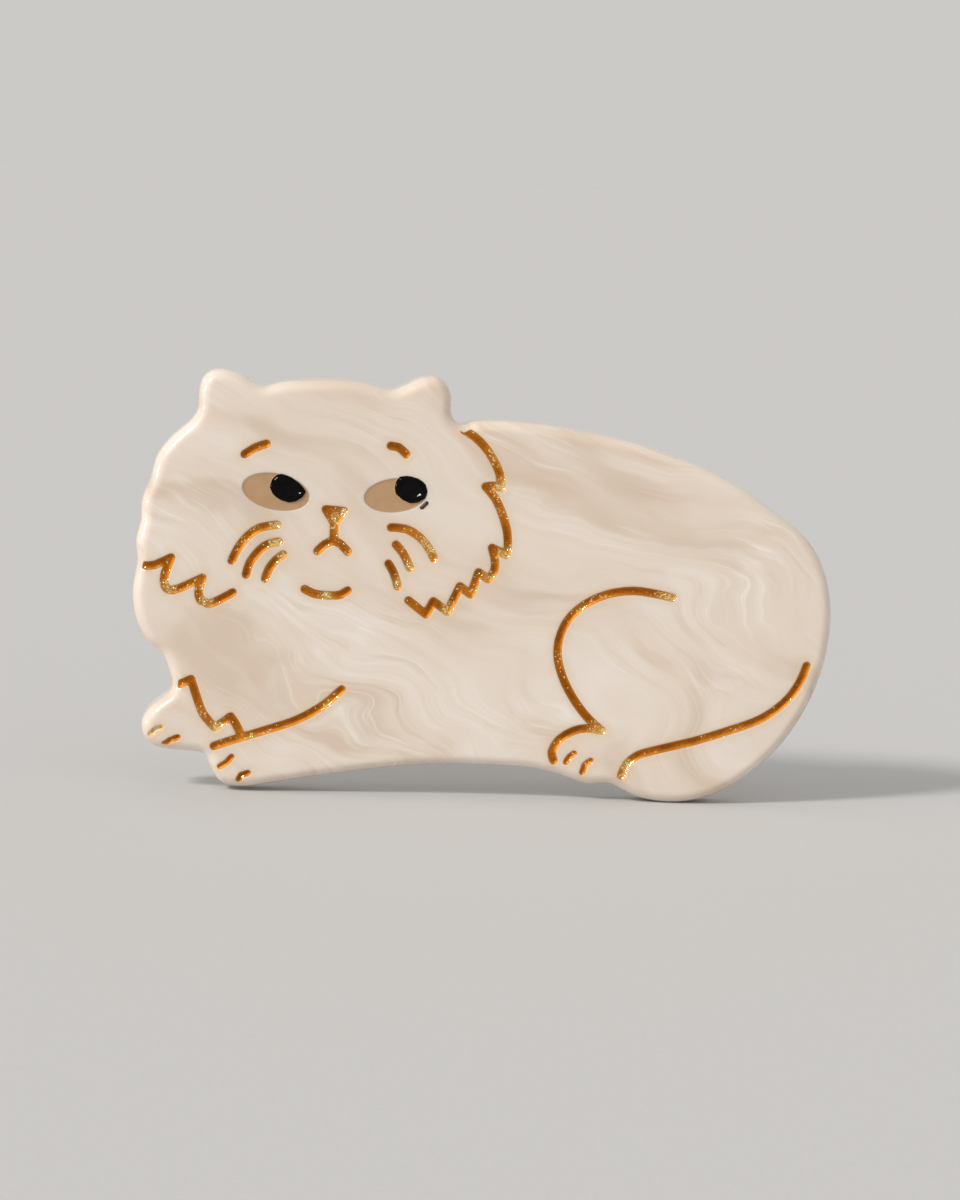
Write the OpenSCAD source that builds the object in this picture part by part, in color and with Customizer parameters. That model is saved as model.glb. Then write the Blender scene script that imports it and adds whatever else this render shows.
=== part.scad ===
// Persian cat brooch: an engraved and lacquer-filled acetate plate on a bar pin
// with a hinged stem and a turning safety catch. Millimetres.
// X runs along the pin wire towards its point, Z is up on the wearer, and the
// plate's face looks towards -Y. The origin is the middle of the stem's shank.

/* [Plate] */
// Length of the plate, nose end to rump
plate_w = 62.2; // [50:0.1:76]
// Height of the plate, feet to ear tips
plate_h = 37.4; // [31:0.1:46]
// Thickness of the acetate sheet
plate_t = 4; // [3.2:0.1:6]
// Radius of the tumbled front edge
edge_r = 1.2; // [0.8:0.1:1.4]
// Radius of the broken back edge
back_edge_r = 0.5; // [0.2:0.1:0.8]

/* [Engraving] */
// Width of the drawn lines
line_w = 0.76; // [0.6:0.02:0.9]
// Width of the finer toe lines
toe_w = 0.56; // [0.4:0.02:0.6]
// Depth of the engraved lines
line_depth = 0.45; // [0.3:0.05:0.8]
// How far the gold lacquer stops below the surface
fill_recess = 0.08; // [0.02:0.01:0.2]

/* [Eyes] */
// Depth of the eye pockets
eye_depth = 0.35; // [0.25:0.05:0.6]
// How far the eye enamel stops below the surface
eye_recess = 0.1; // [0.02:0.01:0.2]
// Height of the black pupils above the surface
pupil_rise = 0.4; // [0.2:0.05:0.8]
// Width of the step round a pupil's dome
pupil_step = 0.3; // [0.2:0.05:0.4]

/* [Pin stem] */
// Diameter of the stem's wire
wire_d = 0.9; // [0.75:0.05:1.1]
// Height of the wire's axis above the plate's back
wire_h = 4.2; // [3.5:0.1:5.4]
// Straight length of the wire between neck and point
shank_l = 26; // [21:0.5:32]
// Length of the swaged neck between eye and shank
neck_l = 1.6; // [1.4:0.1:2.4]
// Length of the ground point beyond the shank
point_l = 5.8; // [5.2:0.1:7]
// Diameter of the hinge rivet in the stem's eye
hinge_d = 1; // [0.8:0.05:1.2]
// Wall of the stem's eye round the rivet
eye_wall = 0.55; // [0.45:0.05:0.8]
// Width of the stem's eye between the ears
eye_w = 1.8; // [1.5:0.1:2.4]

/* [Bar] */
// Width of the back bar
bar_w = 5; // [4.2:0.1:6]
// Thickness of the back bar
bar_t = 0.8; // [0.6:0.1:1.2]
// Distance between the two fixing rivets
rivet_pitch = 16; // [13:0.5:20]
// Diameter of a fixing rivet's shank
rivet_d = 1.4; // [1.1:0.1:1.7]
// Depth of a fixing rivet in the plate
rivet_depth = 2.2; // [1.8:0.1:2.6]
// Diameter of the spare hole in the middle of the bar
spare_d = 2; // [1.6:0.1:2.4]

/* [Catch] */
// Length of the catch housing along the wire
catch_l = 2.6; // [2.1:0.1:3.2]
// Wall of the turning barrel
barrel_wall = 0.7; // [0.55:0.05:0.85]
// Wall of the housing round the barrel
housing_wall = 0.45; // [0.35:0.05:0.6]
// Thickness of the barrel's end collars
collar_t = 0.5; // [0.4:0.05:0.7]
// Reach of the thumb lever from the barrel's axis
lever_reach = 3.3; // [2.8:0.1:4]
// Width of the thumb lever
lever_w = 1; // [0.8:0.1:1.2]

/* [Fits] */
// Radial play of the eye on its rivet and of the barrel in its housing
running_gap = 0.05; // [0.03:0.01:0.08]
// Side play of the eye between the ears and of the barrel's collars
side_gap = 0.06; // [0.04:0.01:0.1]
// Play of the wire in the barrel's bore and slot
wire_gap = 0.1; // [0.08:0.01:0.15]
// Play of the open housing slot round the barrel's slot
slot_step = 0.05; // [0.03:0.01:0.1]

/* [Hidden] */
$fn = 48;

// Longest step along a drawn curve, and the same for the plate's outline
curve_step = 0.8;
outline_step = 1.5;
// Terraces in the front's rounded edge, and in the back's
front_terraces = 6;
back_terraces = 3;
// Thinnest lacquer worth keeping where a line runs out over the rounded edge
thinnest_fill = 0.05;
// Overlap that makes neighbouring solids of one piece a single solid
bite = 0.2;
// Half width of the hairline that a stroke is grown from
hair = 0.005;

// Drawing space: the cat as drawn, which the plate's two sizes stretch
DRAWN_W = 62.2;
DRAWN_H = 37.4;
// Where the pin's origin lies in the drawing, above the plate's balance point
PIN_AT = [0, 1];

wire_r = wire_d / 2;
back_y = -wire_h;
front_y = back_y - plate_t;
bar_top_y = back_y + bar_t;
front_edge = terraces(edge_r, front_terraces);
back_edge = terraces(back_edge_r, back_terraces);

// Stem: the neck joins the shank, and the eye's centre lies behind the neck
shank_x0 = -shank_l / 2;
shank_x1 = shank_l / 2;
hinge_r = hinge_d / 2;
eye_bore_r = hinge_r + running_gap;
eye_r = eye_bore_r + eye_wall;
hinge_x = shank_x0 - neck_l - eye_r + bite;
neck_r = 1.5 * wire_r;
tip_x = shank_x1 + point_l;
tip_r = 0.08;
shoulder_r = 0.8 * wire_r;

// Ears of the hinge
ear_r = eye_r + 0.5;
ear_t = 0.6;
ear_z = eye_w / 2 + side_gap;

// Catch: barrel in its housing, collars at both ends
bore_r = wire_r + wire_gap;
barrel_r = bore_r + barrel_wall;
housing_in_r = barrel_r + running_gap;
housing_r = housing_in_r + housing_wall;
catch_x = shank_x1 + 3;
housing_x0 = catch_x - catch_l / 2;
barrel_x0 = housing_x0 - side_gap - collar_t;
barrel_l = catch_l + 2 * (side_gap + collar_t);
slot_w = 2 * bore_r;
lever_angle = 60;
web_t = 1;
foot_t = 0.5;
foot_w = 3.2;

// Bar: round ends beyond the hinge and the catch
bar_x0 = hinge_x - ear_r - 0.5;
bar_x1 = barrel_x0 + barrel_l + 2;

rivet_r = rivet_d / 2;
rivet_head_r = rivet_r + 0.6;
rivet_head_t = 0.5;
hinge_head_r = hinge_r + 0.35;
hinge_head_t = 0.3;

// The cat's outline, clockwise from the root of its left-hand ear
OUTLINE = [
    [-25.4, 11.2], [-25.5, 12.6], [-25.2, 13.9], [-24.4, 14.6], [-23.2, 14.7], [-21.8, 14.3],
    [-20.8, 13.7], [-19.8, 13.2], [-18.4, 13.7], [-16, 14], [-13, 14.1], [-10.4, 13.8],
    [-8.5, 13.3], [-7.4, 13.8], [-6, 14.6], [-4.8, 14.8], [-3.8, 14.3], [-3.2, 13],
    [-3.3, 11.6], [-2.9, 10.8], [-2.1, 10.4], [-1.2, 10.9], [2, 11], [6, 10.7], [10, 10.1],
    [14, 9.3], [18, 8], [22, 6.3], [26, 3.8], [29, 1.5], [30.6, -1], [31.5, -4.5], [31.4, -8],
    [30.6, -11.5], [29, -15], [26.8, -18], [23.5, -20.8], [20.5, -22.2], [17.5, -22.6],
    [14.5, -22.1], [12.2, -21], [10.4, -21.2], [8.4, -20.6], [5.5, -19.9], [0, -19.7],
    [-5, -19.9], [-10, -20.5], [-16, -21.5], [-20.5, -22.3], [-22.6, -21.8], [-23.3, -20.7],
    [-23.8, -19.4], [-25.4, -19.2], [-28, -19], [-29.4, -18], [-29.6, -16.7], [-28.6, -15.1],
    [-26.9, -13.8], [-27.2, -12.2], [-28, -10.4], [-29.3, -9.6], [-30.4, -7.4], [-30.7, -4.8],
    [-30.3, -2.4], [-30.6, -0.8], [-30.1, 1.2], [-30.2, 2.8], [-29.4, 4.8], [-29, 6.8],
    [-27.6, 8.7], [-25.9, 10.2]];

// Engraved lines: each is a list of strokes, each stroke a smooth curve through its points
BROW_LEFT = [[[-21.3, 7.3], [-20.4, 7.9], [-19.4, 8.3]]];
BROW_RIGHT = [[[-8.5, 8.5], [-7.8, 8.4], [-7.1, 7.8]]];
NOSE = [[-14, 2.7], [-12.4, 2.6], [-13.2, 1.5]];
MOUTH = [[[-13.2, 1.5], [-13.2, 0]], [[-14.6, -1], [-14, -0.4], [-13.2, 0]],
         [[-13.2, 0], [-12.6, -0.3], [-11.9, -1]]];
CHIN = [[[-15.6, -4.4], [-14.7, -4.8], [-13.4, -4.9], [-12.4, -4.8], [-11.8, -4.4]]];
WHISKERS_LEFT = [[[-22.1, -2.1], [-21.6, -1], [-20.8, 0.1], [-19.7, 0.9], [-18.2, 1.2]],
                 [[-20.8, -3.3], [-20.5, -2.2], [-19.7, -1.1], [-18.9, -0.5], [-18, -0.3]],
                 [[-19.1, -3.6], [-18.8, -2.7], [-18.2, -1.9], [-17.6, -1.4]]];
WHISKERS_RIGHT = [[[-8.2, 1.3], [-6.8, 1.2], [-5.6, 0.5], [-4.8, -0.4], [-4.3, -1.3]],
                  [[-7.7, -0.2], [-7, -1], [-6.4, -2.2]],
                  [[-8.3, -1.9], [-7.8, -2.7], [-7.4, -3.9]]];
RUFF_LEFT = [[[-29.7, -2.8], [-28.8, -2.7], [-27.4, -2]],
             [[-27.4, -2], [-27.9, -3.4], [-27.9, -4.5], [-27.2, -4.9], [-25.8, -4.3], [-24.6, -3.7]],
             [[-24.6, -3.7], [-24.9, -4.8], [-24.7, -5.7], [-24, -6], [-22.9, -5.5], [-21.9, -4.9]]];
RUFF_RIGHT = [[[-2.1, 10.1], [-1.2, 9.6], [-0.2, 8.7], [0.6, 7.6], [1.2, 6.4], [1.4, 5.1]],
              [[1.4, 5.1], [0.7, 5.3], [0, 5.2]],
              [[0, 5.2], [0.9, 4.2], [1.6, 2.8], [2.1, 1.2], [2.2, -0.1], [2.1, -0.8]],
              [[2.1, -0.8], [1.5, -0.5], [0.8, -0.2]],
              [[0.8, -0.2], [1.1, -1.2], [1.1, -2.2], [0.6, -3]],
              [[0.6, -3], [-0.3, -2.4]], [[-0.3, -2.4], [-0.9, -4.4]], [[-0.9, -4.4], [-1.9, -3.7]],
              [[-1.9, -3.7], [-2.9, -6]], [[-2.9, -6], [-4.2, -5.1]], [[-4.2, -5.1], [-4.8, -6.3]],
              [[-4.8, -6.3], [-6.4, -5.1]]];
FORELEG = [[[-26.3, -13.2], [-25.3, -12.7]],
           [[-25.3, -12.7], [-24.7, -14.4], [-24.1, -15.8], [-23.1, -16.9]],
           [[-23.1, -16.9], [-22.3, -16.4], [-21.7, -15.9]],
           [[-21.7, -15.9], [-21.2, -16.6], [-20.7, -17.6]],
           [[-23.1, -18.6], [-21.5, -18], [-18.5, -17], [-15.8, -16], [-13.5, -14.6], [-12, -13.2]]];
FAR_TOES = [[[-27.5, -18.6], [-27, -18.2], [-26.3, -17.9]],
            [[-28.7, -17.7], [-28.3, -17.3], [-27.8, -17.1]]];
NEAR_TOES = [[[-22.5, -20.4], [-21.9, -20], [-21.5, -19.5]],
             [[-20.8, -21.5], [-20.6, -21.1], [-20, -20.9]]];
THIGH = [[[17.1, -4.1], [15.5, -3.8], [13.5, -3.6], [11.2, -4], [9.2, -5], [7.8, -6.4], [7.1, -8.2],
          [7.1, -10], [7.8, -12], [8.9, -13.8], [10.1, -15.2], [11.3, -16.2]],
         [[11.3, -16.2], [10, -16], [8.7, -16.3], [7.5, -17.1], [6.9, -18.2], [7.1, -19]]];
HIND_TOES = [[[8.9, -18.3], [8.5, -18.6], [8.2, -19.1]], [[10.4, -18.9], [9.9, -19.3], [9.7, -20]]];
RUMP = [[[13.2, -20.2], [13.6, -19.2], [14.6, -18.3], [16.5, -17.7], [19.5, -16.9], [22.5, -15.9],
         [25.5, -14.7], [27.6, -13.1], [28.8, -11.4], [29.4, -9.8]]];

// Eyes: [centre, half length, half height, tilt in degrees] of the ovals, and the pupils' outlines
EYE_LEFT = [[-18.45, 4.1], 3, 1.6, -10];
EYE_RIGHT = [[-7.9, 4.15], 2.8, 1.5, 8];
PUPIL_LEFT = [[-18, 5.7], [-17.1, 5.4], [-16.4, 4.9], [-15.8, 4.2], [-16.1, 3.7], [-16.7, 3.3],
              [-17.3, 3.2], [-18, 3.4], [-18.7, 3.9], [-19, 4.5], [-18.8, 5.2], [-18.4, 5.6]];
PUPIL_RIGHT = [[-7.6, 5.8], [-7, 5.9], [-6, 5.7], [-5.3, 5.2], [-5.1, 4.6], [-5.3, 4], [-5.9, 3.6],
               [-6.6, 3.5], [-7.3, 3.8], [-7.9, 4.3], [-8, 4.9], [-7.9, 5.4]];
LASH_RIGHT = [[[-5.1, 3.6], [-5.6, 3.1]]];
lash_w = 0.3;

// ---- curves ----

// From a drawn point to a place on the plate
function placed(p) =
    [(p[0] - PIN_AT[0]) * plate_w / DRAWN_W, (p[1] - PIN_AT[1]) * plate_h / DRAWN_H];

// Smooth curve between b and c, with a and d as its outer neighbours
function spline(a, b, c, d, t) =
    0.5 * (2 * b + (c - a) * t + (2 * a - 5 * b + 4 * c - d) * t * t
           + (3 * b - 3 * c + d - a) * t * t * t);

function steps_between(a, b, step) = max(1, ceil(norm(b - a) / step));

function closed_curve(pts, step) =
    [for (i = [0:len(pts) - 1])
        let (n = len(pts), b = pts[i], c = pts[(i + 1) % n], m = steps_between(b, c, step))
        for (j = [0:m - 1])
            spline(pts[(i + n - 1) % n], b, c, pts[(i + 2) % n], j / m)];

function open_curve(pts, step) =
    [for (i = [0:len(pts) - 2])
        let (last = len(pts) - 1, b = pts[i], c = pts[i + 1], m = steps_between(b, c, step))
        for (j = [0:(i == last - 1 ? m : m - 1)])
            spline(pts[max(i - 1, 0)], b, c, pts[min(i + 2, last)], j / m)];

function oval(eye) =
    let (turn = eye[3])
    [for (a = [0:7.5:359])
        let (u = eye[1] * cos(a), v = eye[2] * sin(a))
        eye[0] + [u * cos(turn) - v * sin(turn), u * sin(turn) + v * cos(turn)]];

// A quarter round as terraces, each its inset from the outline and its drop from the face
function terraces(radius, count) =
    [for (i = [0:count - 1])
        let (middle = 90 * (i + 0.5) / count, end = 90 * (i + 1) / count)
        [radius * (1 - cos(middle)), radius * (1 - sin(end))]];

function all_placed(pts) = [for (p = pts) placed(p)];

// ---- flat shapes, drawn in X and Z ----

module hairline(a, b) {
    along = (b - a) / norm(b - a);
    side = [-along[1], along[0]] * hair;
    polygon([a - side, a + side, b + side, b - side]);
}

module stroke(pts) {
    curve = all_placed(open_curve(pts, curve_step));
    for (i = [1:len(curve) - 1])
        hairline(curve[i - 1], curve[i]);
}

module line(strokes, width = line_w) {
    offset(r = width / 2 - hair, $fn = 12)
        for (pts = strokes)
            stroke(pts);
}

module nose_and_mouth() {
    line(MOUTH);
    offset(r = line_w / 2, $fn = 12)
        polygon(all_placed(NOSE));
}

module eye_oval(eye) {
    polygon(all_placed(oval(eye)));
}

module pupil_shape(pts) {
    polygon(all_placed(closed_curve(pts, curve_step)));
}

module lash_shape() {
    line(LASH_RIGHT, lash_w);
}

module outline_shape() {
    polygon(all_placed(closed_curve(OUTLINE, outline_step)));
}

// ---- helpers ----

// A flat shape as a slab from y0 to y1
module slab(y0, y1) {
    translate([0, y1, 0])
        rotate([90, 0, 0])
            linear_extrude(y1 - y0)
                children();
}

// A cylinder along X from x0
module rod(x0, length, r1, r2) {
    translate([x0, 0, 0])
        rotate([0, 90, 0])
            cylinder(h = length, r1 = r1, r2 = r2);
}

// A box from corner to corner
module box(low, high) {
    translate(low)
        cube(high - low);
}

// The outline drawn in by a distance, as a slab between two depths
module terrace(inset, y0, y1) {
    slab(y0, y1)
        offset(delta = -inset)
            outline_shape();
}

// The plate before engraving: each rounded edge is a flight of fine terraces
module blank() {
    terrace(front_edge[0][0], front_y + front_edge[0][1], back_y - back_edge[0][1]);
    for (i = [1:len(front_edge) - 1])
        terrace(front_edge[i][0], front_y + front_edge[i][1],
                front_y + front_edge[i - 1][1] + bite);
    for (i = [1:len(back_edge) - 1])
        terrace(back_edge[i][0], back_y - back_edge[i - 1][1] - bite,
                back_y - back_edge[i][1]);
}

module groove() {
    slab(front_y - 1, front_y + line_depth)
        children();
}

module eye_pocket() {
    slab(front_y - 1, front_y + eye_depth)
        children();
}

// ---- the plate and what fills it ----

module plate() {
    color("linen")
        difference() {
            blank();
            groove() line(BROW_LEFT);
            groove() line(BROW_RIGHT);
            groove() nose_and_mouth();
            groove() line(CHIN);
            groove() line(WHISKERS_LEFT);
            groove() line(WHISKERS_RIGHT);
            groove() line(RUFF_LEFT);
            groove() line(RUFF_RIGHT);
            groove() line(FORELEG);
            groove() line(FAR_TOES, toe_w);
            groove() line(NEAR_TOES, toe_w);
            groove() line(THIGH);
            groove() line(HIND_TOES, toe_w);
            groove() line(RUMP);
            eye_pocket() {
                eye_oval(EYE_LEFT);
                pupil_shape(PUPIL_LEFT);
            }
            eye_pocket() {
                eye_oval(EYE_RIGHT);
                pupil_shape(PUPIL_RIGHT);
                lash_shape();
            }
            for (side = [-1, 1])
                rivet_hole(side);
        }
}

module rivet_hole(side) {
    translate([side * rivet_pitch / 2, back_y + bite, 0])
        rotate([90, 0, 0])
            cylinder(h = rivet_depth + bite, r = rivet_r);
}

// Gold lacquer in an engraved line well inside the edge
module gold() {
    color("darkgoldenrod")
        slab(front_y + fill_recess, front_y + line_depth)
            children();
}

// Gold lacquer in a line that runs out to the rounded edge
module gold_to_edge() {
    color("darkgoldenrod")
        for (step = front_edge)
            if (step[1] + fill_recess + thinnest_fill < line_depth)
                slab(front_y + step[1] + fill_recess, front_y + line_depth)
                    intersection() {
                        children();
                        offset(delta = -step[0])
                            outline_shape();
                    }
}

module brow_left() { gold() line(BROW_LEFT); }
module brow_right() { gold() line(BROW_RIGHT); }
module nose_mouth() { gold() nose_and_mouth(); }
module chin_line() { gold() line(CHIN); }
module whiskers_left() { gold() line(WHISKERS_LEFT); }
module whiskers_right() { gold() line(WHISKERS_RIGHT); }
module ruff_left() { gold_to_edge() line(RUFF_LEFT); }
module ruff_right() { gold_to_edge() line(RUFF_RIGHT); }
module foreleg_line() { gold_to_edge() line(FORELEG); }
module far_paw_toes() { gold_to_edge() line(FAR_TOES, toe_w); }
module near_paw_toes() { gold_to_edge() line(NEAR_TOES, toe_w); }
module thigh_line() { gold() line(THIGH); }
module hind_toes() { gold() line(HIND_TOES, toe_w); }
module rump_line() { gold() line(RUMP); }

module eye_white_left() {
    color("rosybrown")
        slab(front_y + eye_recess, front_y + eye_depth)
            difference() {
                eye_oval(EYE_LEFT);
                pupil_shape(PUPIL_LEFT);
            }
}

module eye_white_right() {
    color("rosybrown")
        slab(front_y + eye_recess, front_y + eye_depth)
            difference() {
                eye_oval(EYE_RIGHT);
                pupil_shape(PUPIL_RIGHT);
                lash_shape();
            }
}

// A pupil: a pool of black filling its pocket, with a stepped dome above the surface
module pupil(pts) {
    slab(front_y - pupil_rise / 2, front_y + eye_depth)
        pupil_shape(pts);
    slab(front_y - pupil_rise, front_y)
        offset(delta = -pupil_step)
            pupil_shape(pts);
}

module pupil_left() {
    color("black")
        pupil(PUPIL_LEFT);
}

module pupil_right() {
    color("black") {
        pupil(PUPIL_RIGHT);
        slab(front_y, front_y + eye_depth)
            lash_shape();
    }
}

// ---- the bar pin on the back ----

module back_bar() {
    end_r = bar_w / 2;
    color("silver")
        difference() {
            union() {
                box([bar_x0 + end_r, back_y, -end_r], [bar_x1 - end_r, bar_top_y, end_r]);
                for (x = [bar_x0 + end_r, bar_x1 - end_r])
                    translate([x, bar_top_y, 0])
                        rotate([90, 0, 0])
                            cylinder(h = bar_t, r = end_r);
                for (z = [-ear_z - ear_t, ear_z])
                    ear(z);
            }
            for (x = [-rivet_pitch / 2, rivet_pitch / 2])
                bar_hole(x, rivet_r);
            bar_hole(0, spare_d / 2);
            translate([hinge_x, 0, -ear_z - ear_t - bite])
                cylinder(h = 2 * (ear_z + ear_t + bite), r = hinge_r);
        }
}

module ear(z) {
    translate([hinge_x, 0, z])
        cylinder(h = ear_t, r = ear_r);
    box([hinge_x - ear_r, bar_top_y - bite, z], [hinge_x + ear_r, 0, z + ear_t]);
}

module bar_hole(x, r) {
    translate([x, bar_top_y + bite, 0])
        rotate([90, 0, 0])
            cylinder(h = bar_t + 2 * bite, r = r);
}

// Two drive rivets that hold the bar to the plate
module bar_rivets() {
    color("gainsboro")
        for (side = [-1, 1])
            translate([side * rivet_pitch / 2, 0, 0])
                rotate([90, 0, 0]) {
                    translate([0, 0, -bar_top_y - rivet_head_t])
                        cylinder(h = rivet_head_t, r1 = rivet_r, r2 = rivet_head_r);
                    translate([0, 0, -bar_top_y])
                        cylinder(h = bar_t + rivet_depth, r = rivet_r);
                }
}

// The headed rivet that the stem turns on
module hinge_rivet() {
    outer_z = ear_z + ear_t;
    color("gainsboro")
        translate([hinge_x, 0, 0]) {
            translate([0, 0, -outer_z])
                cylinder(h = 2 * outer_z, r = hinge_r);
            translate([0, 0, outer_z])
                cylinder(h = hinge_head_t, r1 = hinge_head_r, r2 = hinge_r);
            translate([0, 0, -outer_z - hinge_head_t])
                cylinder(h = hinge_head_t, r1 = hinge_r, r2 = hinge_head_r);
        }
}

// Stem: eye, swaged neck, straight shank and ground point
module pin_stem() {
    neck_x0 = hinge_x + eye_bore_r + bite;
    color("lightsteelblue") {
        difference() {
            translate([hinge_x, 0, -eye_w / 2])
                cylinder(h = eye_w, r = eye_r);
            translate([hinge_x, 0, -eye_w / 2 - bite])
                cylinder(h = eye_w + 2 * bite, r = eye_bore_r);
        }
        rod(neck_x0, shank_x0 - neck_x0, neck_r, wire_r);
        rod(shank_x0, shank_l, wire_r, wire_r);
        rod(shank_x1, 0.7 * point_l, wire_r, shoulder_r);
        rod(shank_x1 + 0.7 * point_l, 0.3 * point_l - tip_r, shoulder_r, tip_r);
        translate([tip_x - tip_r, 0, 0])
            sphere(r = tip_r);
    }
}

// Fixed half of the catch: a slotted sleeve on a web and foot
module catch_body() {
    housing_x1 = housing_x0 + catch_l;
    slot_half = slot_w / 2 + slot_step;
    color("silver")
        difference() {
            union() {
                rod(housing_x0, catch_l, housing_r, housing_r);
                box([housing_x0, bar_top_y, -web_t / 2], [housing_x1, 0, web_t / 2]);
                box([housing_x0, bar_top_y, -foot_w / 2], [housing_x1, bar_top_y + foot_t, foot_w / 2]);
            }
            rod(housing_x0 - bite, catch_l + 2 * bite, housing_in_r, housing_in_r);
            box([housing_x0 - bite, 0, -slot_half], [housing_x1 + bite, 2 * housing_r, slot_half]);
        }
}

// Turning half of the catch: a slotted barrel with two collars and a thumb lever
module catch_barrel() {
    outer_x = barrel_x0 + barrel_l - collar_t;
    color("gainsboro")
        difference() {
            union() {
                rod(barrel_x0, barrel_l, barrel_r, barrel_r);
                rod(barrel_x0, collar_t, housing_r, housing_r);
                rod(outer_x, collar_t, housing_r, housing_r);
                rotate([lever_angle, 0, 0])
                    lever(outer_x);
            }
            rod(barrel_x0 - bite, barrel_l + 2 * bite, bore_r, bore_r);
            box([barrel_x0 - bite, 0, -slot_w / 2],
                [barrel_x0 + barrel_l + bite, 2 * housing_r, slot_w / 2]);
        }
}

// The lever stands out along +Y before it is turned to its place
module lever(x) {
    box([x, barrel_r, -lever_w / 2], [x + collar_t, lever_reach - lever_w / 2, lever_w / 2]);
    translate([0, lever_reach - lever_w / 2, 0])
        rod(x, collar_t, lever_w / 2, lever_w / 2);
}

plate();
brow_left();
brow_right();
nose_mouth();
chin_line();
whiskers_left();
whiskers_right();
ruff_left();
ruff_right();
foreleg_line();
far_paw_toes();
near_paw_toes();
thigh_line();
hind_toes();
rump_line();
eye_white_left();
eye_white_right();
pupil_left();
pupil_right();
back_bar();
bar_rivets();
hinge_rivet();
pin_stem();
catch_body();
catch_barrel();
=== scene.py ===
"""Looks for the lying-cat brooch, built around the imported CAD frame.

The acetate plate, its gold lacquer and painted eyes, and the steel fittings on its
back are meshed here from the CAD nodes' own sections, so every piece stays where the
frame has it. Mesh code works in millimetres, and make_object turns them into metres.
"""

import math

import bmesh
import bpy
import numpy as np
from mathutils import Matrix, Vector, geometry


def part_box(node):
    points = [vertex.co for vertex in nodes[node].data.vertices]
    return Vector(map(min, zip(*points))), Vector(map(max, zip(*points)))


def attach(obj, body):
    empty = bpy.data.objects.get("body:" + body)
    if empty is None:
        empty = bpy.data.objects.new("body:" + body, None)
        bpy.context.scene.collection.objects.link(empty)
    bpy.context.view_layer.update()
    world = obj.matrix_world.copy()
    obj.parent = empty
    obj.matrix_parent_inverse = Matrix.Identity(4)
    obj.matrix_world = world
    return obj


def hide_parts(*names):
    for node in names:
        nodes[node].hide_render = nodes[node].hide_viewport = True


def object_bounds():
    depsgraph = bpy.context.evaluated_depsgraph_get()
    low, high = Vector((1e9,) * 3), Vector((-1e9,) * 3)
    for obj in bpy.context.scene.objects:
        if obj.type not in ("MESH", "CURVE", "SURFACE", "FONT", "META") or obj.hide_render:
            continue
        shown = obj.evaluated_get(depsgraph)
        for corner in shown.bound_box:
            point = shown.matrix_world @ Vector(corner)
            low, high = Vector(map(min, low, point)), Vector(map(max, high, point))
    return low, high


MM = 0.001
FACE = np.array([0, 2])  # the plate's face lies along X and Z

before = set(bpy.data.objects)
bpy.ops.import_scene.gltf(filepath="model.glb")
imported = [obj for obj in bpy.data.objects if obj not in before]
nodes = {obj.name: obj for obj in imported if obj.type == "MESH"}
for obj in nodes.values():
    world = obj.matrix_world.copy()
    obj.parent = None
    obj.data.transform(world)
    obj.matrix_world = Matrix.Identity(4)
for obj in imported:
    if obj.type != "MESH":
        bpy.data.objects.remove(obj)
cad_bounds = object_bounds()

# ---- sizes read from the frame, in millimetres ----

plate_low, plate_high = (np.array(c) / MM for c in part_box("plate"))
FRONT = plate_low[1]  # the face looks towards -Y
BACK = plate_high[1]
LINE_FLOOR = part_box("nose_mouth")[1].y / MM
EYE_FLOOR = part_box("eye_white_left")[1].y / MM
PUPIL_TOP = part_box("pupil_left")[0].y / MM

# ---- sizes of the finish ----

FRONT_ROUND = 1.2  # the CAD plate's tumbled front edge
BACK_ROUND = 0.5
PILLOW = 0.07  # how far tumbling wears the face down towards its edge
PILLOW_REACH = 2.2
RIPPLE = 0.006  # waviness of the polished face
LIP = 0.03  # wear of an engraved line's edges
LIP_REACH = 0.09
GROOVE_WALL = 0.03  # width that an engraved line's steep wall takes
FLOOR_GAP = 0.02  # a groove's floor stops this far above the lacquer's underside
POCKET_DEPTH = 0.16  # depth of the eyes' pockets where the paint's rim hides their floors
LACQUER_GLOW_REACH = 0.8  # how far the painted glow of the lacquer reaches into the acetate round a line

RIM_DROP = 0.05  # the lacquer's rim below the face
DIP = 0.2  # how much deeper the lacquer lies in the middle of a line
DIP_REACH = 0.34
LUMP = 0.018  # unevenness of the dried lacquer
THINNEST = 0.012  # of the lacquer where a line runs out over the rounded edge
INWARD_REACH = 0.36  # from a line's wall to its middle, for the lacquer's painted highlight along its walls
WIPED_BEYOND = -28  # the far paw's half-wiped toe line lies to the left of this X

EYE_RIM_DROP = 0.045
EYE_DIP = 0.03
EYE_DIP_REACH = 0.15

PUPIL_LAP = 0.03  # how far a pupil's enamel laps over its pocket's edge
PUPIL_SINK = 0.09  # how far below the face a dome's foot starts
PUPIL_RISE = 0.92  # share of the CAD pupil's height that the dome takes
PUPIL_FLATNESS = 1.15  # more than 1 draws the dome's shoulder in
PUPIL_WOBBLE = 0.02
CROWN_GAP = 0.005  # between a dome's crown and the top of the CAD pupil
LASH_RISE = 0.1
SMALLEST_PUPIL = 1.5  # square millimetres; the lash's outline holds less

# ---- how finely the pieces are meshed, in millimetres ----
#
# Each piece is triangulated over rings, which are loops at set distances from its outline,
# and a lattice of points at a pitch, which keeps clear of the rings.

FEWEST_POINTS = 8  # in a loop
FOLD_SHARE = 0.93  # of an offset: a moved point that ends up nearer than this has folded over
SECTION_LIFT = 0.01  # sections are taken this far above a floor
SIDE_LIFT = 0.2  # and the plate's this far past its front edge's rounding
OUTLINE_STEP, OUTLINE_BLUR = 0.3, 0.35
LINE_STEP, LINE_BLUR = 0.14, 0.06
EYE_STEP, EYE_BLUR = 0.12, 0.06

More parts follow.
